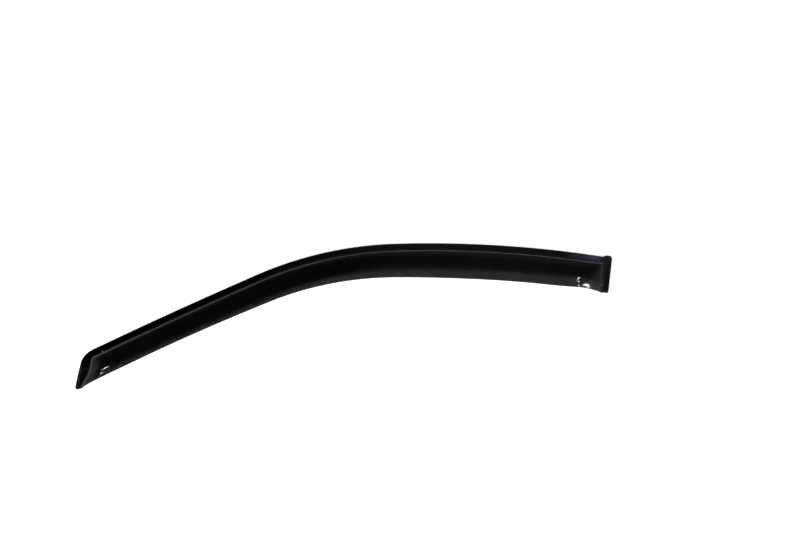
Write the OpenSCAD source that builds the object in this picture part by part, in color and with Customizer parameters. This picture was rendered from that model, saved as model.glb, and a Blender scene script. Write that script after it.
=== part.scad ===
// Window rain deflector for a front side door, lying on its taped flange.
// +X runs to the rear of the car, +Y up the door, +Z outwards from the glass.
// The origin is on the table, under the middle of the part.

/* [Outline along the door frame] */
// Length of the pillar stretch, along the outer edge of the flange
pillar_length = 308; // [220:1:400]
// Bend radius of the pillar stretch
pillar_radius = 7500; // [3000:50:20000]
// Rise of the pillar stretch at its front end, in degrees
pillar_rise = 28.2; // [15:0.1:40]
// Length of the shoulder bend, between the pillar and the roof
shoulder_length = 238; // [180:1:320]
// Bend radius of the shoulder
shoulder_radius = 568; // [450:1:1200]
// Length of the roof stretch
roof_length = 365; // [280:1:460]
// Bend radius of the roof stretch
roof_radius = 1730; // [1000:10:6000]

/* [Section] */
// Wall of the acrylic sheet
sheet_t = 3; // [2:0.1:3.6]
// Width of the flange, from its outer edge to the foot of the riser
flange_width = 11.2; // [11:0.1:17]
// Slope of the riser beside the flange, in degrees
riser_angle = 48; // [35:1:60]
// Height of the riser
riser_height = 4.5; // [3.5:0.1:6]
// Width of the whole strip on the pillar
pillar_width = 53.6; // [44:0.1:62]
// Width of the whole strip on the roof
roof_width = 69.2; // [60:0.1:82]
// Stand-off of the free edge from the flange on the pillar
pillar_depth = 10.2; // [9:0.1:16]
// Stand-off of the free edge from the flange on the roof
roof_depth = 14; // [11:0.1:20]
// Distance from the front corner at which the strip begins to widen
widen_start = 104; // [60:1:200]
// Length at the rear end that has the full width
full_width_length = 205; // [140:1:280]
// Radius of the crowned face, across the strip
crown_radius = 230; // [150:5:600]
// Radius of the ridge between the riser and the face
ridge_radius = 6; // [5:0.1:9]
// Radius at the foot of the riser and of the end walls
foot_radius = 1.4; // [1:0.1:3]
// Height of the low riser at the foot of the end walls
end_riser = 2.2; // [1:0.1:3]

/* [Front end] */
// Slant of the front end against a square cut, in degrees
front_slant = 33.2; // [10:0.1:42]
// Radius of the front end's upper corner
front_corner_radius = 30; // [10:1:36]
// Radius of the front tip
tip_radius = 3.5; // [2:0.1:6]
// How much narrower the strip is at the front tip
front_taper = 1.6; // [0:0.1:3]
// Length of that taper
front_taper_length = 32; // [24:1:60]
// Width of the flange along the front end
front_flange = 16; // [13:0.1:22]
// How much narrower that flange is at the tip
tip_narrowing = 9.5; // [0:0.1:11]
// Distance from the outer edge at which that narrowing starts
narrowing_from = 28; // [20:0.5:40]
// Distance from the outer edge at which it would be complete
narrowing_to = 56; // [50:0.5:70]
// Slope of the front end wall above its riser, in degrees
front_wall_angle = 27; // [18:1:40]
// Depth over which the front end wall melts into the face
front_blend = 6; // [4:0.1:10]
// Distance from the outer edge to the step across the front flange
tip_step_at = 20; // [17:0.1:30]
// Slant of that step, in degrees
tip_step_slant = 23; // [0:1:30]
// Height by which the tip clears the pillar trim
tip_step = 1.6; // [0.6:0.1:2.4]

/* [Rear end] */
// Width of the raised band at the rear end
band_width = 10.5; // [10:0.1:16]
// Height by which the band clears the pillar trim
band_step = 1.6; // [0.6:0.1:2.2]
// Width of the groove between the band and the rear end wall
groove_width = 2; // [1.5:0.1:5]
// How far the band's upper end stands out beyond the flange
band_lip = 2.6; // [0:0.1:4]
// Slope of the steps to the band and to the tip, in degrees
step_angle = 45; // [35:1:55]
// Slope of the rear end wall above its riser, in degrees
rear_wall_angle = 21; // [15:1:40]
// Depth over which the rear end wall melts into the face
rear_blend = 4; // [4:0.1:10]
// How much narrower the strip is at the rear end
rear_taper = 4.4; // [0:0.1:6]
// Length of that taper
taper_length = 100; // [60:1:140]
// Radius of the rear end's upper corner
rear_top_radius = 5; // [2:0.1:9]
// Radius of the rear end's lower corner
rear_low_radius = 2; // [1.5:0.1:8]

/* [Tape] */
// Thickness of the acrylic foam tape
tape_t = 1.1; // [0.8:0.1:1.6]
// Width of the tape on the long flange
tape_width = 8.4; // [6:0.1:9]
// Distance from the front corner to the front end of that tape
tape_front_gap = 20; // [17:1:60]
// Bare length of flange between that tape and the rear end
tape_rear_gap = 66; // [24:1:90]
// Width of the tape pad under the rear band
pad_width = 6.2; // [4:0.1:7]
// Distance from the band's edge to that pad
pad_inset = 0.8; // [0.8:0.1:1.6]
// Bare stretch of the band above and below that pad
pad_end_gap = 5; // [5:0.5:20]
// Thickness of the release liner
liner_t = 0.15; // [0.1:0.01:0.3]
// How far the liner stands out beyond the tape, on each side
liner_margin = 0.4; // [0:0.1:0.7]

/* [Hidden] */

total_length = pillar_length + shoulder_length + roof_length;
widen_end = total_length - full_width_length;
tape_top_z = liner_t + tape_t;
flange_z = tape_top_z + sheet_t;

// A smooth step from 0 to 1
function smooth(t) = let (c = min(1, max(0, t))) c * c * (3 - 2 * c);

// The lower and the higher of two heights, melted together over the depth k
function soft_min(a, b, k) = min(a, b) - pow(max(k - abs(a - b), 0), 2) / (4 * k);
function soft_max(a, b, k) = -soft_min(-a, -b, k);

// The melting depth that gives a bend of radius r between a slope and the level
function bend_depth(slope, r) = slope * slope * r / 2;

// The outer edge of the flange is three arcs, each tangent to the last.
// An arc end is [x, y, heading], and every arc turns to the right.
function arc_end(from, r, length) =
    let (heading = from[2] - length / r * 180 / PI)
    [
        from[0] + r * (sin(from[2]) - sin(heading)),
        from[1] + r * (cos(heading) - cos(from[2])),
        heading
    ];
pillar_from = [0, 0, pillar_rise];
shoulder_from = arc_end(pillar_from, pillar_radius, pillar_length);
roof_from = arc_end(shoulder_from, shoulder_radius, shoulder_length);
function edge_at(s) =
    s < pillar_length ? arc_end(pillar_from, pillar_radius, s)
    : s < pillar_length + shoulder_length ? arc_end(shoulder_from, shoulder_radius, s - pillar_length)
    : arc_end(roof_from, roof_radius, s - pillar_length - shoulder_length);

// A place in plan: s along the outer edge from the front corner, d across from it
function plan(s, d) = let (e = edge_at(s)) [e[0] + d * sin(e[2]), e[1] - d * cos(e[2])];

// Width and stand-off of the strip along its length
function widening(s) = smooth((s - widen_start) / (widen_end - widen_start));
function strip_width(s) =
    pillar_width + (roof_width - pillar_width) * widening(s)
    - front_taper * smooth(1 - max(0, s) / front_taper_length)
    - rear_taper * smooth((s - total_length + taper_length) / taper_length);
function strip_depth(s) = pillar_depth + (roof_depth - pillar_depth) * widening(s);

// The section across the strip: a steep riser, then the crowned face
riser_slope = tan(riser_angle);
foot_depth = bend_depth(riser_slope, foot_radius);
ridge_depth = bend_depth(riser_slope, ridge_radius) / 2;
function section_height(s, d) =
    let (
        x = d - flange_width,
        w = strip_width(s) - flange_width,
        face = riser_height + (strip_depth(s) - riser_height) * x / w + x * (w - x) / (2 * crown_radius)
    )
    soft_min(x * riser_slope, face, ridge_depth);

// A step of the flange up to a raised level, bent no tighter than the sheet allows
step_slope = tan(step_angle);
step_round = bend_depth(step_slope, sheet_t + 0.4);
step_foot = bend_depth(step_slope, foot_radius);
function step_height(x, height) = soft_max(0, soft_min(x * step_slope, height, step_round), step_foot);

// Distances from the straight line of the front end and from the rear end
function from_front(s, d) = s * cos(front_slant) + d * sin(front_slant);
function from_rear(s) = total_length - s;

// The end walls rise from the end flanges, and the band and the tip are raised
tip_width = pillar_width - front_taper;
function front_foot(d) =
    front_flange - tip_narrowing * smooth((d - narrowing_from) / (narrowing_to - narrowing_from));

// Height of an end wall, x from its foot: a low riser, then a slope into the face
function end_wall(x, angle) = soft_min(x * riser_slope, end_riser + x * tan(angle), ridge_depth);
function front_wall(s, d) = end_wall(from_front(s, d) - front_foot(d), front_wall_angle);
function rear_wall(s) = end_wall(from_rear(s) - band_width - groove_width, rear_wall_angle);
function end_level(s, d) =
    from_rear(s) < from_front(s, d)
    ? step_height(band_width - from_rear(s), band_step)
    : step_height(d - tip_step_at - from_front(s, d) * tan(tip_step_slant), tip_step);

// Height of the outer face over the flange
function shell_height(s, d) = soft_max(
    end_level(s, d),
    soft_min(
        soft_min(section_height(s, d), front_wall(s, d), front_blend),
        rear_wall(s),
        rear_blend
    ),
    foot_depth
);
function outer_point(s, d) = let (p = plan(s, d)) [p[0], p[1], flange_z + shell_height(s, d)];

// The inner face lies the sheet's wall behind the outer face, square to it
probe = 0.02;
function outward(s, d) =
    let (
        along = outer_point(s + probe, d) - outer_point(s - probe, d),
        across = outer_point(s, d + probe) - outer_point(s, d - probe),
        n = cross(across, along)
    )
    n / norm(n);
function inner_point(s, d) = outer_point(s, d) - sheet_t * outward(s, d);

// The front end's edge as a place along s: a round corner, the slanted line, a round tip
corner_reach = front_corner_radius * tan((90 - front_slant) / 2);
tip_centre_d = tip_width - tip_radius;
tip_centre_s = tip_radius / cos(front_slant) - tip_centre_d * tan(front_slant);
function front_edge(d) =
    d < corner_reach * cos(front_slant)
    ? corner_reach - sqrt(pow(front_corner_radius, 2) - pow(front_corner_radius - d, 2))
    : d < tip_centre_d - tip_radius * sin(front_slant)
    ? -d * tan(front_slant)
    : tip_centre_s - sqrt(max(0, pow(tip_radius, 2) - pow(d - tip_centre_d, 2)));

// How far a round corner of radius r pulls an end back, at x from the corner's side
function corner_pull(x, r) = x < r ? r - sqrt(r * r - pow(r - max(0, x), 2)) : 0;
rear_width = strip_width(total_length);
function rear_edge(d) =
    total_length - corner_pull(d, rear_top_radius) - corner_pull(rear_width - d, rear_low_radius);

// Rows across the strip: fixed ones on the flange and the riser, shares of the face beyond
riser_top = flange_width + riser_height / riser_slope;
face_start = riser_top + 2.4;
flange_rows = [0, 1.2, 4, 8, flange_width - foot_radius];
riser_rows = [
    flange_width - foot_radius / 3,
    flange_width + foot_radius / 2,
    (flange_width + riser_top) / 2,
    riser_top - 0.8,
    riser_top + 0.7
];
face_rows = [0, 0.12, 0.27, 0.43, 0.6, 0.76, 0.9];
lip_rows = [3, 1, 0];
function rows(s) = concat(
    flange_rows,
    riser_rows,
    [for (t = face_rows) face_start + t * (strip_width(s) - lip_rows[0] - face_start)],
    [for (x = lip_rows) strip_width(s) - x]
);

// Stations along the strip, close together at the ends and where the strip bends
foot_zone = 28;
front_zone = 58;
rear_zone = 44;
band_zone = band_width + groove_width + 3;
function spaced(from, to, count) = [for (i = [0:count - 1]) from + (to - from) * i / count];
stations = concat(
    spaced(0, foot_zone, 24),
    spaced(foot_zone, front_zone, 11),
    spaced(front_zone, pillar_length, 13),
    spaced(pillar_length, pillar_length + shoulder_length, 20),
    spaced(pillar_length + shoulder_length, total_length - rear_zone, 16),
    spaced(total_length - rear_zone, total_length - band_zone, 12),
    spaced(total_length - band_zone, total_length, 17),
    [total_length]
);

// Near an end the stations follow that end's edge, and further in they cross the strip squarely
end_fade = 130;
function station_s(s, d) =
    s + front_edge(d) * (1 - smooth(s / end_fade))
    - (total_length - rear_edge(d)) * smooth(1 - (total_length - s) / end_fade);

// The band's upper end stands out beyond the flange
function lip_d(s, d) =
    d - band_lip * smooth((s - total_length + band_zone) / 5) * (1 - smooth(d / flange_width));

grid = [for (s = stations) [for (d = rows(s)) [station_s(s, d), lip_d(s, d)]]];
outer_points = [for (line = grid) for (p = line) outer_point(p[0], p[1])];
inner_points = [for (line = grid) for (p = line) inner_point(p[0], p[1])];
row_count = len(grid[0]);
station_count = len(stations);
point_count = row_count * station_count;

// Two triangles for the four corners a, b, c and d, clockwise from outside
function quad(a, b, c, d) = [[a, b, c], [a, c, d]];
function index(i, j) = i * row_count + j;
skin_faces = [
    for (i = [0:station_count - 2]) for (j = [0:row_count - 2])
        for (f = quad(index(i, j), index(i + 1, j), index(i + 1, j + 1), index(i, j + 1))) f
];
back_faces = [for (f = skin_faces) [f[0] + point_count, f[2] + point_count, f[1] + point_count]];
rim = concat(
    [for (i = [0:station_count - 2]) index(i, 0)],
    [for (j = [0:row_count - 2]) index(station_count - 1, j)],
    [for (i = [station_count - 1:-1:1]) index(i, row_count - 1)],
    [for (j = [row_count - 1:-1:1]) index(0, j)]
);
rim_faces = [
    for (k = [0:len(rim) - 1])
        let (a = rim[k], b = rim[(k + 1) % len(rim)])
        for (f = quad(a, a + point_count, b + point_count, b)) f
];

// The part is centred over the origin
all_x = [for (p = concat(outer_points, inner_points)) p[0]];
all_y = [for (p = concat(outer_points, inner_points)) p[1]];
centre = [-(min(all_x) + max(all_x)) / 2, -(min(all_y) + max(all_y)) / 2, 0];

// Outline of a strip of tape that follows the outer edge
strip_pitch = 12;
function tape_outline(from, to, low, high) =
    let (count = ceil((to - from) / strip_pitch))
    concat(
        [for (i = [0:count]) plan(from + (to - from) * i / count, low)],
        [for (i = [count:-1:0]) plan(from + (to - from) * i / count, high)]
    );
tape_inset = (flange_width - foot_radius / 2 - tape_width) / 2;

// The pad keeps to the part of the band that is flat underneath
band_flat = band_width - (band_step + step_round) / step_slope;
pad_reach = min(pad_inset + pad_width, band_flat);

// The long tape, with m added on each side
module long_strip(m) {
    polygon(tape_outline(
        tape_front_gap - m,
        total_length - tape_rear_gap + m,
        tape_inset - m,
        tape_inset + tape_width + m
    ));
}

// The pad under the rear band, with m added on each side
module rear_strip(m) {
    polygon(tape_outline(
        total_length - pad_reach - m,
        total_length - pad_inset + m,
        pad_end_gap - m,
        rear_width - pad_end_gap + m
    ));
}

module rain_shell() {
    color([0.05, 0.05, 0.06])
        translate(centre)
            polyhedron(concat(outer_points, inner_points), concat(skin_faces, back_faces, rim_faces));
}

module long_tape() {
    color([0.12, 0.12, 0.12])
        translate([centre[0], centre[1], liner_t])
            linear_extrude(tape_t) long_strip(0);
}

module rear_tape() {
    color([0.12, 0.12, 0.12])
        translate([centre[0], centre[1], liner_t])
            linear_extrude(tape_t + band_step) rear_strip(0);
}

module long_liner() {
    color([0.75, 0.08, 0.08])
        translate(centre)
            linear_extrude(liner_t) long_strip(liner_margin);
}

module rear_liner() {
    color([0.75, 0.08, 0.08])
        translate(centre)
            linear_extrude(liner_t) rear_strip(liner_margin);
}

rain_shell();
long_tape();
rear_tape();
long_liner();
rear_liner();
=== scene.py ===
"""Window rain deflector of smoked acrylic, lying on its tape on a white table.

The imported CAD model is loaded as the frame. A finer surface of the formed sheet stands
for the CAD shell, the tape and liner solids get their finishes, and a white table,
studio lamps and a camera at the photograph's angle complete the scene.
"""

from __future__ import annotations

import logging
import math
from dataclasses import dataclass
from enum import Enum

import bpy
import numpy as np
from mathutils import Euler, Matrix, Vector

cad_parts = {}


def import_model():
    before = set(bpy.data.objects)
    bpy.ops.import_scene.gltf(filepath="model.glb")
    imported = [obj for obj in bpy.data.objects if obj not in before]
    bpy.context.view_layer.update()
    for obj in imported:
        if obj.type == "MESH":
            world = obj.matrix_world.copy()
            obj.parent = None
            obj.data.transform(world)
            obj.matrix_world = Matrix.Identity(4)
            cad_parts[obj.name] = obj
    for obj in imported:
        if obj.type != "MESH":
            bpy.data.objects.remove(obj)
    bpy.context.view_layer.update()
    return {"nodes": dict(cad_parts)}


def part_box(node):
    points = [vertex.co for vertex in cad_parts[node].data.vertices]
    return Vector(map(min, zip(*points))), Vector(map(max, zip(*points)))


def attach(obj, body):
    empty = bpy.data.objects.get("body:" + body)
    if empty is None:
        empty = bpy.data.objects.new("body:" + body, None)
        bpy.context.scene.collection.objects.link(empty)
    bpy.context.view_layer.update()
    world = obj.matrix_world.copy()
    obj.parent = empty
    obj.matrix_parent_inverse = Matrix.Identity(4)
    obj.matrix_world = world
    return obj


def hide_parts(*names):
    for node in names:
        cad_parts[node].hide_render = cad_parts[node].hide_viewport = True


LOG = logging.getLogger("rain_deflector")
MM = 0.001
WHITE = (1.0, 1.0, 1.0, 1.0)
TABLE_MIDDLE = (0.0, 0.0, 0.0)
Array = np.ndarray
Place = tuple[float, float, float]
Stops = tuple[tuple[float, float], ...]


class Slot(Enum):
    """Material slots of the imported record."""

    ACRYLIC = "smoked_acrylic"
    FOAM = "foam_tape"
    LINER = "liner_film"


# Colours and nodes


def linear(hex_colour: str) -> tuple[float, float, float, float]:
    """Turns an sRGB hex colour to the linear values that a socket takes.

    Args:
        hex_colour: Six hex digits, with or without a leading hash.

    Returns:
        Red, green, blue and alpha, linear.
    """
    digits = hex_colour.lstrip("#")
    channels = [int(digits[i : i + 2], 16) / 255 for i in (0, 2, 4)]
    values = [c / 12.92 if c <= 0.04045 else ((c + 0.055) / 1.055) ** 2.4 for c in channels]
    return (values[0], values[1], values[2], 1.0)


def add_node(
    tree: bpy.types.NodeTree,
    kind: str,
    settings: dict[str, object] | None = None,
    inputs: dict[str | int, object] | None = None,
) -> bpy.types.Node:
    """Adds a node, with its settings, its socket values and its links.

    Args:
        tree: The node tree.
        kind: The node's type name.
        settings: Attributes of the node.
        inputs: For each input, a value, or the output socket that feeds it.

    Returns:
        The new node.
    """
    node = tree.nodes.new(kind)
    for name, value in (settings or {}).items():
        setattr(node, name, value)
    for name, value in (inputs or {}).items():
        if isinstance(value, bpy.types.NodeSocket):
            tree.links.new(value, node.inputs[name])
        else:
            node.inputs[name].default_value = value
    return node


def new_material(name: str) -> bpy.types.Material:
    """Makes an empty node material.

    Args:
        name: The material's name.

    Returns:
        The material, its node tree cleared.
    """
    material = bpy.data.materials.new(name)
    material.use_nodes = True
    material.node_tree.nodes.clear()
    return material


# Finishes


@dataclass(frozen=True)
class SmokedAcrylic:
    """Cast acrylic sheet, smoked, heated and formed over a mould.

    Acrylic keeps its polish when it is formed, so it mirrors the room sharply in long clean
    lines, and the mould leaves a slow waviness. The smoke lets a few percent of light through,
    which shows where the white table lies close behind an unbacked edge.
    """

    smoke: str = "#343436"
    ior: float = 1.49
    roughness_low: float = 0.025
    roughness_high: float = 0.07
    wave_mm: float = 55.0
    wave_height: float = 0.00012
    wave_strength: float = 0.35
    wipe_mm: float = 9.0

    def build(self) -> bpy.types.Material:
        """Builds the material.

        Returns:
            Clear-through dark acrylic with slow forming waves and faint wiping marks.
        """
        material = new_material("smoked_acrylic_formed")
        tree = material.node_tree
        place = add_node(tree, "ShaderNodeTexCoord")
        waves = add_node(
            tree,
            "ShaderNodeTexNoise",
            inputs={
                "Vector": place.outputs["Object"],
                "Scale": 1 / (self.wave_mm * MM),
                "Detail": 1.0,
                "Roughness": 0.4,
            },
        )
        bump = add_node(
            tree,
            "ShaderNodeBump",
            inputs={
                "Strength": self.wave_strength,
                "Distance": self.wave_height,
                "Height": waves.outputs["Fac"],
            },
        )
        wipes = add_node(
            tree,
            "ShaderNodeTexNoise",
            inputs={
                "Vector": place.outputs["Object"],
                "Scale": 1 / (self.wipe_mm * MM),
                "Detail": 5.0,
                "Roughness": 0.62,
            },
        )
        roughness = add_node(
            tree,
            "ShaderNodeMapRange",
            inputs={
                "Value": wipes.outputs["Fac"],
                "From Min": 0.42,
                "From Max": 0.72,
                "To Min": self.roughness_low,
                "To Max": self.roughness_high,
            },
        )
        shader = add_node(
            tree,
            "ShaderNodeBsdfPrincipled",
            inputs={
                "Base Color": linear(self.smoke),
                "IOR": self.ior,
                "Transmission Weight": 1.0,
                "Roughness": roughness.outputs["Result"],
                "Normal": bump.outputs["Normal"],
            },
        )
        add_node(tree, "ShaderNodeOutputMaterial", inputs={"Surface": shader.outputs["BSDF"]})
        return material


@dataclass(frozen=True)
class AcrylicFoam:
    """Black closed-cell acrylic foam tape, slit to width.

    Its cut sides are matt and faintly pitted by the cells, with painted shade darkening the pits.
    """

    # The ramp runs from dark, painted shade at the bottoms of the pits, to light at their rims.
    dark: str = "#0E0E0F"
    light: str = "#222224"
    cell_mm: float = 0.35
    pit_depth: float = 0.00008

    def build(self) -> bpy.types.Material:
        """Builds the material.

        Returns:
            Matt black foam with fine pits, darkened by painted shade.
        """
        material = new_material("acrylic_foam_slit")
        tree = material.node_tree
        place = add_node(tree, "ShaderNodeTexCoord")
        cells = add_node(
            tree,
            "ShaderNodeTexVoronoi",
            inputs={"Vector": place.outputs["Object"], "Scale": 1 / (self.cell_mm * MM)},
        )
        # The tone follows the cells, darker where the pits lie deepest: painted shade in the
        # pits.
        tone_and_painted_shade = add_node(tree, "ShaderNodeValToRGB", inputs={"Fac": cells.outputs["Distance"]})
        tone_and_painted_shade.color_ramp.elements[0].color = linear(self.dark)
        tone_and_painted_shade.color_ramp.elements[1].color = linear(self.light)
        bump = add_node(
            tree,
            "ShaderNodeBump",
            inputs={
                "Strength": 0.5,
                "Distance": self.pit_depth,
                "Height": cells.outputs["Distance"],
            },
        )
        shader = add_node(
            tree,
            "ShaderNodeBsdfPrincipled",
            inputs={
                "Base Color": tone_and_painted_shade.outputs["Color"],
                "Roughness": 0.85,
                "Normal": bump.outputs["Normal"],
            },
        )
        add_node(tree, "ShaderNodeOutputMaterial", inputs={"Surface": shader.outputs["BSDF"]})
        return material


@dataclass(frozen=True)
class LinerFilm:
    """Red polyethylene release film, cast and rolled.

    It has a satin gloss with faint creases from the roll, deeper red in their lows: painted
    shade.
    """

    red: str = "#C21F1A"
    # The deeper red is painted shade where the creases lie lowest.
    red_in_crease_shade: str = "#A81612"
    crease_mm: float = 6.0
    crease_height: float = 0.0001

    def build(self) -> bpy.types.Material:
        """Builds the material.

        Returns:
            Satin red film with faint creases, with painted shade in their lows.
        """
        material = new_material("red_liner_film")
        tree = material.node_tree
        place = add_node(tree, "ShaderNodeTexCoord")
        creases = add_node(
            tree,
            "ShaderNodeTexNoise",
            inputs={
                "Vector": place.outputs["Object"],
                "Scale": 1 / (self.crease_mm * MM),
                "Detail": 3.0,
            },
        )
        # The tone follows the creases' height, deeper red where they lie lower: painted shade in
        # the creases.
        tone_and_painted_shade = add_node(tree, "ShaderNodeValToRGB", inputs={"Fac": creases.outputs["Fac"]})
        tone_and_painted_shade.color_ramp.elements[0].color = linear(self.red_in_crease_shade)
        tone_and_painted_shade.color_ramp.elements[1].color = linear(self.red)
        bump = add_node(
            tree,
            "ShaderNodeBump",
            inputs={
                "Strength": 0.3,
                "Distance": self.crease_height,
                "Height": creases.outputs["Fac"],
            },
        )
        shader = add_node(
            tree,
            "ShaderNodeBsdfPrincipled",
            inputs={
                "Base Color": tone_and_painted_shade.outputs["Color"],
                "Roughness": 0.32,
                "IOR": 1.51,
                "Normal": bump.outputs["Normal"],
            },
        )
        add_node(tree, "ShaderNodeOutputMaterial", inputs={"Surface": shader.outputs["BSDF"]})
        return material


@dataclass(frozen=True)
class WhiteTable:
    """Matt white paper, as pale to the camera as the photograph's background.

    The lift is a glow that only the camera sees, so it adds no light to the part.
    """

    white: str = "#F2F2F2"
    lift: float = 0.72

    def build(self) -> bpy.types.Material:
        """Builds the material: matt white, lifted to white for the camera.

        Returns:
            The floor's material.
        """
        material = new_material("white_paper")
        tree = material.node_tree
        path = add_node(tree, "ShaderNodeLightPath")
        strength = add_node(
            tree,
            "ShaderNodeMath",
            {"operation": "MULTIPLY"},
            {0: path.outputs["Is Camera Ray"], 1: self.lift},
        )
        glow = add_node(
            tree,
            "ShaderNodeEmission",
            inputs={"Color": WHITE, "Strength": strength.outputs[0]},
        )
        matt = add_node(tree, "ShaderNodeBsdfDiffuse", inputs={"Color": linear(self.white)})
        both = add_node(
            tree,
            "ShaderNodeAddShader",
            inputs={0: matt.outputs["BSDF"], 1: glow.outputs["Emission"]},
        )
        add_node(tree, "ShaderNodeOutputMaterial", inputs={"Surface": both.outputs["Shader"]})
        return material


# The formed sheet


def smooth(t: Array) -> Array:
    """A smooth step from 0 to 1: c²(3 − 2c), with t held between 0 and 1."""
    c = np.clip(t, 0.0, 1.0)
    return c * c * (3 - 2 * c)


def soft_min(a: Array, b: Array, depth: float) -> Array:
    """The lower of two heights, melted together over a depth.

    The formula is min(a, b) − max(depth − |a − b|, 0)² / (4 depth).

    Args:
        a: First height.
        b: Second height.
        depth: Depth over which they melt together.

    Returns:
        The melted height.
    """
    return np.minimum(a, b) - np.maximum(depth - np.abs(a - b), 0) ** 2 / (4 * depth)


def soft_max(a: Array, b: Array, depth: float) -> Array:
    """The higher of two heights, melted together: the soft minimum upside down."""
    return -soft_min(-a, -b, depth)


def bend_depth(slope: float, radius: float) -> float:
    """The melting depth that bends a slope to the level with a radius: slope² r / 2."""
    return slope * slope * radius / 2


def spread(stretches: tuple[tuple[float, float, int], ...]) -> Array:
    """Evenly spaced places in stretches, each given as its start, its end and its count."""
    return np.concatenate([np.linspace(a, b, n, endpoint=False) for a, b, n in stretches])


@dataclass
class FormedSheet:
    """The deflector itself, in the part's own sizes, in millimetres and degrees.

    A place on the sheet is s along the outer edge of the flange, from the front corner, and
    d across from that edge. The outer face is a height over (s, d), and the inner face lies
    one sheet thickness behind it, square to it.
    """

    # The outer edge
    pillar_length: float = 308
    pillar_radius: float = 7500
    pillar_rise: float = 28.2
    shoulder_length: float = 238
    shoulder_radius: float = 568
    roof_length: float = 365
    roof_radius: float = 1730

    # The section across the strip
    sheet_t: float = 3
    flange_width: float = 11.2
    riser_angle: float = 48
    riser_height: float = 4.5
    pillar_width: float = 53.6
    roof_width: float = 69.2
    pillar_depth: float = 10.2
    roof_depth: float = 14
    widen_start: float = 104
    full_width_length: float = 205
    crown_radius: float = 230
    ridge_radius: float = 6
    foot_radius: float = 1.4

    # The front end
    front_slant: float = 33.2
    front_corner_radius: float = 30
    tip_radius: float = 3.5
    front_taper: float = 1.6
    front_taper_length: float = 32
    front_flange: float = 16
    tip_narrowing: float = 9.5
    narrowing_from: float = 28
    narrowing_to: float = 56
    end_riser: float = 2.2
    front_wall_angle: float = 27
    front_blend: float = 6
    tip_step_at: float = 20
    tip_step_slant: float = 23
    tip_step: float = 1.6
    step_angle: float = 45
    step_inside: float = 0.4

    # The rear end
    band_width: float = 10.5
    band_step: float = 1.6
    groove_width: float = 2
    band_lip: float = 2.6
    band_lead: float = 3
    lip_fade: float = 5
    rear_wall_angle: float = 21
    rear_blend: float = 4
    rear_taper: float = 4.4
    taper_length: float = 100
    rear_top_radius: float = 5
    rear_low_radius: float = 2

    # Tape and liner under the flange
    tape_t: float = 1.1
    liner_t: float = 0.15

    # The mesh: stretches with closer points, row counts and the rounded edges
    end_fade: float = 130
    rim_zone: float = 1.6
    front_zone: float = 62
    rear_zone: float = 44
    groove_zone: float = 20
    rim_rows_to: float = 1.2
    foot_zone: float = 2
    ridge_zone: float = 3
    face_rows: int = 27
    lip_zone: float = 3
    lip_rows: int = 9
    edge_round: float = 0.35
    edge_segments: int = 2
    edge_angle: float = 50

    @property
    def total_length(self) -> float:
        """Length along the outer edge of the flange."""
        return self.pillar_length + self.shoulder_length + self.roof_length

    @property
    def riser_slope(self) -> float:
        """Slope of the riser: the tangent of its angle."""
        return math.tan(math.radians(self.riser_angle))

    @property
    def flange_z(self) -> float:
        """Height of the flange's outer face over the table."""
        return self.liner_t + self.tape_t + self.sheet_t

    def edge(self, s: Array) -> tuple[Array, Array, Array]:
        """The outer edge: three arcs, each tangent to the last, all turning right.

        An arc from heading h0 with radius r reaches heading h = h0 − length / r, at
        x + r (sin h0 − sin h) and y + r (cos h − cos h0).

        Args:
            s: Places along the edge.

        Returns:
            x, y and heading, in millimetres and radians.
        """
        x: Array | float = 0.0
        y: Array | float = 0.0
        heading: Array | float = math.radians(self.pillar_rise)
        done = 0.0
        arcs = (
            (self.pillar_length, self.pillar_radius),
            (self.shoulder_length, self.shoulder_radius),
            (self.roof_length, self.roof_radius),
        )
        for number, (length, radius) in enumerate(arcs):
            low = -np.inf if number == 0 else 0.0
            high = np.inf if number == len(arcs) - 1 else length
            run = np.clip(s - done, low, high)
            after = heading - run / radius
            x = x + radius * (np.sin(heading) - np.sin(after))
            y = y + radius * (np.cos(after) - np.cos(heading))
            heading = after
            done += length
        return x, y, heading

    def widening(self, s: Array) -> Array:
        """Share of the roof's width: a smooth step between the two stretches."""
        end = self.total_length - self.full_width_length
        return smooth((s - self.widen_start) / (end - self.widen_start))

    def strip_width(self, s: Array) -> Array:
        """Width of the strip: pillar to roof width, less the tapers at the two ends."""
        return (
            self.pillar_width
            + (self.roof_width - self.pillar_width) * self.widening(s)
            - self.front_taper * smooth(1 - np.maximum(0, s) / self.front_taper_length)
            - self.rear_taper * smooth(1 - (self.total_length - s) / self.taper_length)
        )

    def section_height(self, s: Array, d: Array) -> Array:
        """Height across the strip: the riser's slope, melted into the crowned face.

        The face is a straight line from the riser's height to the stand-off, plus a crown
        x (w − x) / (2 r) over the face's width w.

        Args:
            s: Places along the edge.
            d: Places across the strip.

        Returns:
            Heights over the flange.
        """
        x = d - self.flange_width
        w = self.strip_width(s) - self.flange_width
        depth = self.pillar_depth + (self.roof_depth - self.pillar_depth) * self.widening(s)
        face = self.riser_height + (depth - self.riser_height) * x / w
        face = face + x * (w - x) / (2 * self.crown_radius)
        ridge = bend_depth(self.riser_slope, self.ridge_radius) / 2
        return soft_min(x * self.riser_slope, face, ridge)

    def step_height(self, x: Array, height: float) -> Array:
        """A step from 0 to a raised level: a slope, bent at its head and at its foot.

        Args:
            x: Distances from the step's foot.
            height: The raised level.

        Returns:
            Heights over the lower level.
        """
        slope = math.tan(math.radians(self.step_angle))
        head_depth = bend_depth(slope, self.sheet_t + self.step_inside)
        head = soft_min(x * slope, np.full_like(x, height), head_depth)
        return soft_max(np.zeros_like(x), head, bend_depth(slope, self.foot_radius))

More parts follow.
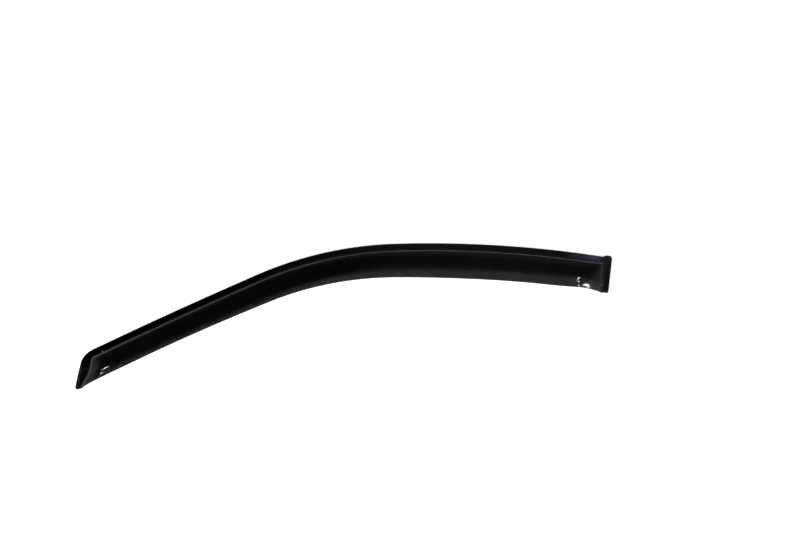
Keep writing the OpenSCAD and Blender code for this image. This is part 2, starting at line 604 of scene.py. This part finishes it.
    def end_wall(self, x: Array, angle: float) -> Array:
        """Height of an end wall: a low riser, melted into a slope towards the face.

        Args:
            x: Distances from the wall's foot.
            angle: Angle of the slope.

        Returns:
            Heights over the flange.
        """
        slope = self.end_riser + x * math.tan(math.radians(angle))
        ridge = bend_depth(self.riser_slope, self.ridge_radius) / 2
        return soft_min(x * self.riser_slope, slope, ridge)

    def shell_height(self, s: Array, d: Array) -> Array:
        """Height of the outer face over the flange.

        The section is cut off by the two end walls, each a slope from its end's flange that
        melts into the face, and the whole rises from the level of the flange, the raised
        rear band or the stepped tip.

        Args:
            s: Places along the edge.
            d: Places across the strip.

        Returns:
            Heights over the flange.
        """
        slant = math.radians(self.front_slant)
        from_front = s * math.cos(slant) + d * math.sin(slant)
        from_rear = self.total_length - s
        narrowing = (d - self.narrowing_from) / (self.narrowing_to - self.narrowing_from)
        foot = self.front_flange - self.tip_narrowing * smooth(narrowing)
        front_wall = self.end_wall(from_front - foot, self.front_wall_angle)
        rear_start = self.band_width + self.groove_width
        rear_wall = self.end_wall(from_rear - rear_start, self.rear_wall_angle)
        tip_x = d - self.tip_step_at - from_front * math.tan(math.radians(self.tip_step_slant))
        level = np.where(
            from_rear < from_front,
            self.step_height(self.band_width - from_rear, self.band_step),
            self.step_height(tip_x, self.tip_step),
        )
        body = soft_min(self.section_height(s, d), front_wall, self.front_blend)
        body = soft_min(body, rear_wall, self.rear_blend)
        return soft_max(level, body, bend_depth(self.riser_slope, self.foot_radius))

    def outer(self, s: Array, d: Array) -> Array:
        """Points of the outer face: the edge point, d to its right, at the shell's height.

        Args:
            s: Places along the edge.
            d: Places across the strip.

        Returns:
            x, y and z of each point, in the last axis.
        """
        x, y, heading = self.edge(s)
        z = self.flange_z + self.shell_height(s, d)
        return np.stack([x + d * np.sin(heading), y - d * np.cos(heading), z], axis=-1)

    def outward(self, s: Array, d: Array) -> Array:
        """Unit normals of the outer face: the cross product of small steps along s and d.

        Args:
            s: Places along the edge.
            d: Places across the strip.

        Returns:
            x, y and z of each normal, in the last axis.
        """
        probe = 0.02
        along = self.outer(s + probe, d) - self.outer(s - probe, d)
        across = self.outer(s, d + probe) - self.outer(s, d - probe)
        normal = np.cross(across, along)
        return normal / np.linalg.norm(normal, axis=-1, keepdims=True)

    def front_edge(self, d: Array) -> Array:
        """The front end as a place along s: a round corner, the slanted line, a round tip.

        The line is −d tan(slant), and each round end is its centre less √(r² − (d − c)²).

        Args:
            d: Places across the strip.

        Returns:
            The end's place along s for each d.
        """
        slant = math.radians(self.front_slant)
        corner = self.front_corner_radius
        reach = corner * math.tan((math.pi / 2 - slant) / 2)
        centre_d = self.pillar_width - self.front_taper - self.tip_radius
        centre_s = self.tip_radius / math.cos(slant) - centre_d * math.tan(slant)
        round_corner = reach - np.sqrt(np.maximum(0, corner**2 - (corner - d) ** 2))
        round_tip = centre_s - np.sqrt(np.maximum(0, self.tip_radius**2 - (d - centre_d) ** 2))
        line = -d * math.tan(slant)
        edge = np.where(d < reach * math.cos(slant), round_corner, line)
        return np.where(d < centre_d - self.tip_radius * math.sin(slant), edge, round_tip)

    def corner_pull(self, x: Array, radius: float) -> Array:
        """How far a round corner pulls an end back: r − √(r² − (r − x)²) near its side."""
        inside = np.clip(x, 0, radius)
        return radius - np.sqrt(radius**2 - (radius - inside) ** 2)

    def rear_pull(self, d: Array) -> Array:
        """How far the two rear corners pull the rear end back.

        Args:
            d: Places across the strip.

        Returns:
            The pull along s for each d.
        """
        width = self.strip_width(np.array(self.total_length))
        top = self.corner_pull(d, self.rear_top_radius)
        return top + self.corner_pull(width - d, self.rear_low_radius)

    def stations(self) -> Array:
        """Places along the strip: evenly spaced stretches, closest at the two ends.

        Returns:
            The places, from the front end to the rear end.
        """
        length = self.total_length
        shoulder = self.pillar_length + self.shoulder_length
        stretches = (
            (0.0, self.rim_zone, 5),
            (self.rim_zone, self.front_zone, 64),
            (self.front_zone, self.pillar_length, 62),
            (self.pillar_length, shoulder, 80),
            (shoulder, length - self.rear_zone, 76),
            (length - self.rear_zone, length - self.groove_zone, 34),
            (length - self.groove_zone, length - self.rim_zone, 56),
            (length - self.rim_zone, length, 5),
        )
        return np.append(spread(stretches), length)

    def rows(self, width: Array) -> Array:
        """Places across the strip, for each width: flange, riser, face and free edge.

        Args:
            width: Width of the strip at each station.

        Returns:
            One line of places for each station.
        """
        riser_from = self.flange_width - self.foot_zone
        riser_top = self.flange_width + self.riser_height / self.riser_slope
        face_from = riser_top + self.ridge_zone
        stretches = (
            (0.0, self.rim_rows_to, 5),
            (self.rim_rows_to, riser_from, 8),
            (riser_from, face_from, 26),
        )
        fixed = spread(stretches)
        fixed = np.broadcast_to(fixed, (len(width), len(fixed)))
        shares = np.linspace(0, 1, self.face_rows, endpoint=False)
        face = face_from + shares[None, :] * (width[:, None] - self.lip_zone - face_from)
        free = width[:, None] - np.linspace(self.lip_zone, 0, self.lip_rows)[None, :]
        return np.concatenate([fixed, face, free], axis=1)

    def grid(self) -> tuple[Array, Array]:
        """Places (s, d) of the mesh's points.

        Near an end the stations follow that end's edge, by a share that fades out over
        end_fade, and the band's upper end stands out past the flange by band_lip.

        Returns:
            s and d, one line for each station.
        """
        station = self.stations()
        d = self.rows(self.strip_width(station))
        s = np.broadcast_to(station[:, None], d.shape)
        near_front = 1 - smooth(s / self.end_fade)
        near_rear = smooth(1 - (self.total_length - s) / self.end_fade)
        moved = s + self.front_edge(d) * near_front - self.rear_pull(d) * near_rear
        zone = self.band_width + self.groove_width + self.band_lead
        lip = self.band_lip * smooth((moved - self.total_length + zone) / self.lip_fade)
        return moved, d - lip * (1 - smooth(d / self.flange_width))

    def build(
        self, centre_x: float, centre_y: float, finish: bpy.types.Material
    ) -> bpy.types.Object:
        """Builds the sheet: the outer grid, the inner grid and the rim between them.

        Args:
            centre_x: Middle of the CAD shell in x, in metres.
            centre_y: Middle of the CAD shell in y, in metres.
            finish: The acrylic.

        Returns:
            The sheet, as an object at the origin.
        """
        s, d = self.grid()
        outer = self.outer(s, d)
        inner = outer - self.sheet_t * self.outward(s, d)
        points = np.concatenate([outer.reshape(-1, 3), inner.reshape(-1, 3)])
        middle = (points.min(axis=0) + points.max(axis=0)) / 2
        points = points - [middle[0], middle[1], 0]
        points = points * MM + [centre_x, centre_y, 0]

        count_s, count_d = s.shape
        index = np.arange(count_s * count_d).reshape(count_s, count_d)
        skin = np.stack([index[:-1, :-1], index[:-1, 1:], index[1:, 1:], index[1:, :-1]], axis=-1)
        skin = skin.reshape(-1, 4)
        back = skin[:, ::-1] + index.size
        rim = np.concatenate([index[:, 0], index[-1, 1:], index[-2::-1, -1], index[0, -2:0:-1]])
        after = np.roll(rim, -1)
        wall = np.stack([rim, after, after + index.size, rim + index.size], axis=-1)
        faces = np.concatenate([skin, back, wall])

        mesh = bpy.data.meshes.new("rain_sheet")
        mesh.from_pydata(points.tolist(), [], faces.tolist())
        mesh.validate()
        mesh.materials.append(finish)
        mesh.shade_smooth()
        piece = bpy.data.objects.new("rain_sheet", mesh)
        bpy.context.collection.objects.link(piece)
        self.round_edges(piece)
        return piece

    def round_edges(self, piece: bpy.types.Object) -> None:
        """Rounds the trimmed edges, which are scraped and polished after sawing.

        Args:
            piece: The sheet.
        """
        bevel = piece.modifiers.new("polished_edges", "BEVEL")
        bevel.width = self.edge_round * MM
        bevel.segments = self.edge_segments
        bevel.limit_method = "ANGLE"
        bevel.angle_limit = math.radians(self.edge_angle)
        bevel.harden_normals = False


# Tape and liners


@dataclass
class Backing:
    """The foam tape on the flange and under the rear band, each with its release liner."""

    solids: tuple[tuple[Slot, tuple[str, ...]], ...] = (
        (Slot.FOAM, ("long_tape", "rear_tape")),
        (Slot.LINER, ("long_liner", "rear_liner")),
    )

    def dress(self, nodes: dict[str, bpy.types.Object]) -> None:
        """Gives the CAD solids their finishes.

        Args:
            nodes: The frame's CAD objects by name.
        """
        finishes = {Slot.FOAM: AcrylicFoam().build(), Slot.LINER: LinerFilm().build()}
        for slot, names in self.solids:
            for name in names:
                for place in nodes[name].material_slots:
                    place.material = finishes[slot]
                LOG.info("%s: %s", name, slot.value)


# Table, light and camera


@dataclass
class Table:
    """The white table under the part."""

    half_side: float = 6.0

    def build(self) -> None:
        """Builds the table top as one square at the height of the floor."""
        corners = np.array([[-1, -1], [1, -1], [1, 1], [-1, 1]]) * self.half_side
        points = np.column_stack([corners, np.zeros(4)])
        mesh = bpy.data.meshes.new("table")
        mesh.from_pydata(points.tolist(), [], [(0, 1, 2, 3)])
        mesh.materials.append(WhiteTable().build())
        table = bpy.data.objects.new("table", mesh)
        bpy.context.collection.objects.link(table)


@dataclass(frozen=True)
class Lamp:
    """A studio lamp: a rectangle at a place that faces another place, in metres.

    Its width is level, or follows the line along. A lamp that isn't mirrored lights the
    scene but doesn't show in the gloss.
    """

    name: str
    place: Place
    aim: Place
    width: float
    height: float
    watts: float
    colour: str = "#FFFFFF"
    along: Place = (0.0, 0.0, 0.0)
    mirrored: bool = True


@dataclass
class Studio:
    """Softboxes, the small lamps of the glints, a dim ceiling and a pale horizon."""

    # Height of a direction, 0 at the horizon and 1 overhead, and the room's grey there
    side_room: Stops = (
        (0.0, 0.5),
        (0.2, 0.55),
        (0.4, 0.42),
        (0.5, 0.38),
        (0.58, 0.26),
        (0.66, 0.12),
        (0.73, 0.03),
        (0.8, 0.0),
    )
    far_room: Stops = (
        (0.0, 0.95),
        (0.08, 0.6),
        (0.18, 0.08),
        (0.45, 0.07),
        (0.58, 0.14),
        (0.63, 0.14),
        (0.67, 0.04),
        (0.9, 0.0),
    )
    side_from: float = 0.1
    side_to: float = 0.6
    glow_from: float = -0.2
    glow_to: float = 0.05
    glow: float = 0.06
    overhead_from: float = 0.78
    overhead_to: float = 0.91
    overhead_glow: float = 0.14
    lamps: tuple[Lamp, ...] = (
        Lamp(
            "key_softbox",
            place=(-1.2, -1.72, 1.3),
            aim=TABLE_MIDDLE,
            width=0.9,
            height=0.45,
            watts=84.0,
            mirrored=False,
        ),
        Lamp(
            "left_softbox",
            place=(-1.9, -0.4, 0.9),
            aim=TABLE_MIDDLE,
            width=0.9,
            height=0.6,
            watts=6.0,
        ),
        Lamp(
            "right_softbox",
            place=(1.9, -0.4, 0.9),
            aim=TABLE_MIDDLE,
            width=0.9,
            height=0.6,
            watts=9.0,
        ),
        Lamp(
            "corner_tube",
            place=(1.429, 0.679, 1.281),
            aim=(0.39, 0.048, 0.015),
            width=0.81,
            height=0.03,
            watts=1.95,
            along=(0.656, -0.278, -0.393),
        ),
        Lamp(
            "rear_window",
            place=(0.757, 1.0, 2.0),
            aim=(0.38, 0.1, 0.0),
            width=0.11,
            height=0.16,
            watts=0.034,
            colour="#9FB4FF",
        ),
        Lamp(
            "rear_pane",
            place=(0.78, 0.992, 1.95),
            aim=(0.404, 0.104, 0.004),
            width=0.05,
            height=0.018,
            watts=0.0038,
            colour="#A4CCFF",
            along=(1.0, -0.145, 0.0),
        ),
        Lamp(
            "rear_spot_a",
            place=(0.715, 1.09, 1.451),
            aim=(0.373, 0.058, 0.017),
            width=0.014,
            height=0.085,
            watts=0.11,
        ),
        Lamp(
            "rear_spot_b",
            place=(0.732, 1.011, 1.498),
            aim=(0.374, 0.052, 0.018),
            width=0.03,
            height=0.036,
            watts=0.07,
        ),
        Lamp(
            "rear_spot_c",
            place=(0.789, 0.876, 1.562),
            aim=(0.376, 0.046, 0.018),
            width=0.115,
            height=0.04,
            watts=0.4,
        ),
        Lamp(
            "front_spot_a",
            place=(-0.978, 0.715, 1.509),
            aim=(-0.387, -0.095, 0.014),
            width=0.007,
            height=0.018,
            watts=0.055,
        ),
        Lamp(
            "front_spot_b",
            place=(-0.953, 0.636, 1.557),
            aim=(-0.394, -0.103, 0.014),
            width=0.008,
            height=0.02,
            watts=0.012,
        ),
    )

    def light(self) -> None:
        """Makes the lamps and the world."""
        for lamp in self.lamps:
            data = bpy.data.lights.new(lamp.name, "AREA")
            data.shape = "RECTANGLE"
            data.size = lamp.width
            data.size_y = lamp.height
            data.energy = lamp.watts
            data.color = linear(lamp.colour)[:3]
            light = bpy.data.objects.new(lamp.name, data)
            light.location = lamp.place
            towards = np.array(lamp.aim) - np.array(lamp.place)
            light.rotation_euler = aim_euler(towards, np.array(lamp.along))
            light.visible_glossy = lamp.mirrored
            bpy.context.collection.objects.link(light)
        self.surround()

    def grey_by_height(
        self,
        tree: bpy.types.NodeTree,
        height: bpy.types.NodeSocket,
        levels: Stops,
    ) -> bpy.types.Node:
        """Adds a ramp of greys over the height of a direction.

        Args:
            tree: The world's node tree.
            height: The direction's z, from 0 at the horizon to 1 overhead.
            levels: Pairs of height and grey.

        Returns:
            The ramp.
        """
        node = add_node(tree, "ShaderNodeValToRGB", inputs={"Fac": height})
        ramp = node.color_ramp
        while len(ramp.elements) < len(levels):
            ramp.elements.new(1.0)
        for element, (place, grey) in zip(ramp.elements, levels):
            element.position = place
            element.color = (grey, grey, grey, 1.0)
        return node

    def surround(self) -> None:
        """Makes the world: pale near the horizon, dim overhead, white to the camera."""
        world = bpy.data.worlds.new("studio_room")
        bpy.context.scene.world = world
        world.use_nodes = True
        tree = world.node_tree
        tree.nodes.clear()
        place = add_node(tree, "ShaderNodeTexCoord")
        parts = add_node(tree, "ShaderNodeSeparateXYZ", inputs={0: place.outputs["Generated"]})
        side = self.grey_by_height(tree, parts.outputs["Z"], self.side_room)
        far = self.grey_by_height(tree, parts.outputs["Z"], self.far_room)
        ceiling = add_node(
            tree,
            "ShaderNodeMapRange",
            inputs={
                "Value": parts.outputs["Z"],
                "From Min": self.overhead_from,
                "From Max": self.overhead_to,
                "To Min": self.glow,
                "To Max": self.overhead_glow,
            },
        )
        glow = add_node(
            tree,
            "ShaderNodeMapRange",
            {"interpolation_type": "SMOOTHSTEP"},
            {
                "Value": parts.outputs["X"],
                "From Min": self.glow_from,
                "From Max": self.glow_to,
                "To Min": 0.0,
                "To Max": ceiling.outputs["Result"],
            },
        )
        sideways = add_node(
            tree, "ShaderNodeMath", {"operation": "ABSOLUTE"}, {0: parts.outputs["X"]}
        )
        share = add_node(
            tree,
            "ShaderNodeMapRange",
            {"interpolation_type": "SMOOTHSTEP"},
            {
                "Value": sideways.outputs[0],
                "From Min": self.side_from,
                "From Max": self.side_to,
            },
        )
        walls = add_node(
            tree,
            "ShaderNodeMix",
            {"data_type": "FLOAT"},
            {0: share.outputs["Result"], 2: far.outputs["Color"], 3: side.outputs["Color"]},
        )
        room = add_node(
            tree,
            "ShaderNodeMath",
            {"operation": "MAXIMUM"},
            {0: walls.outputs[0], 1: glow.outputs["Result"]},
        )
        path = add_node(tree, "ShaderNodeLightPath")
        shown = add_node(
            tree,
            "ShaderNodeMath",
            {"operation": "MAXIMUM"},
            {0: path.outputs["Is Camera Ray"], 1: room.outputs[0]},
        )
        sky = add_node(
            tree,
            "ShaderNodeBackground",
            inputs={"Color": WHITE, "Strength": shown.outputs[0]},
        )
        add_node(tree, "ShaderNodeOutputWorld", inputs={"Surface": sky.outputs["Background"]})


def aim_euler(towards: Array, along: Array) -> Euler:
    """The turn that points a lamp's −Z axis along a direction, with its X axis along a line.

    Without a line, the X axis is level: the cross product of the direction and +Z.

    Args:
        towards: The direction that the lamp shines in.
        along: The line that its long side follows, or zeros.

    Returns:
        The turn as Euler angles.
    """
    back = -towards / np.linalg.norm(towards)
    side = along if along.any() else np.cross((0.0, 0.0, 1.0), back)
    side = side - back * (side @ back)
    side = side / np.linalg.norm(side)
    up = np.cross(back, side)
    return Matrix(np.column_stack([side, up, back]).tolist()).to_euler()


@dataclass
class PhotoCamera:
    """A camera at the photograph's angle: 24 degrees from straight down."""

    place: Place = (0.08106, -0.661, 1.6807)
    tilt: float = 24.0
    roll: float = -0.063
    lens_mm: float = 49.5
    sensor_mm: float = 36.0
    nearest: float = 0.02
    farthest: float = 50.0

    def build(self) -> None:
        """Builds the camera and makes it the scene's own."""
        data = bpy.data.cameras.new("photo_camera")
        data.lens = self.lens_mm
        data.sensor_width = self.sensor_mm
        data.clip_start = self.nearest
        data.clip_end = self.farthest
        camera = bpy.data.objects.new("photo_camera", data)
        camera.location = self.place
        tilted = Matrix.Rotation(math.radians(self.tilt), 3, "X")
        rolled = Matrix.Rotation(math.radians(self.roll), 3, "Z")
        camera.rotation_euler = (tilted @ rolled).to_euler()
        bpy.context.collection.objects.link(camera)
        bpy.context.scene.camera = camera


# Main


def main() -> None:
    """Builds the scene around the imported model."""
    logging.basicConfig(level=logging.INFO, format="%(name)s: %(message)s")
    bpy.context.scene.view_settings.view_transform = "Standard"
    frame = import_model()
    low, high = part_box("rain_shell")

    sheet = FormedSheet().build(
        (low[0] + high[0]) / 2, (low[1] + high[1]) / 2, SmokedAcrylic().build()
    )
    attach(sheet, "root")
    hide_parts("rain_shell")
    LOG.info("rain_sheet: %d faces", len(sheet.data.polygons))

    Backing().dress(frame["nodes"])
    Table().build()
    Studio().light()
    PhotoCamera().build()


if __name__ == "__main__":
    main()
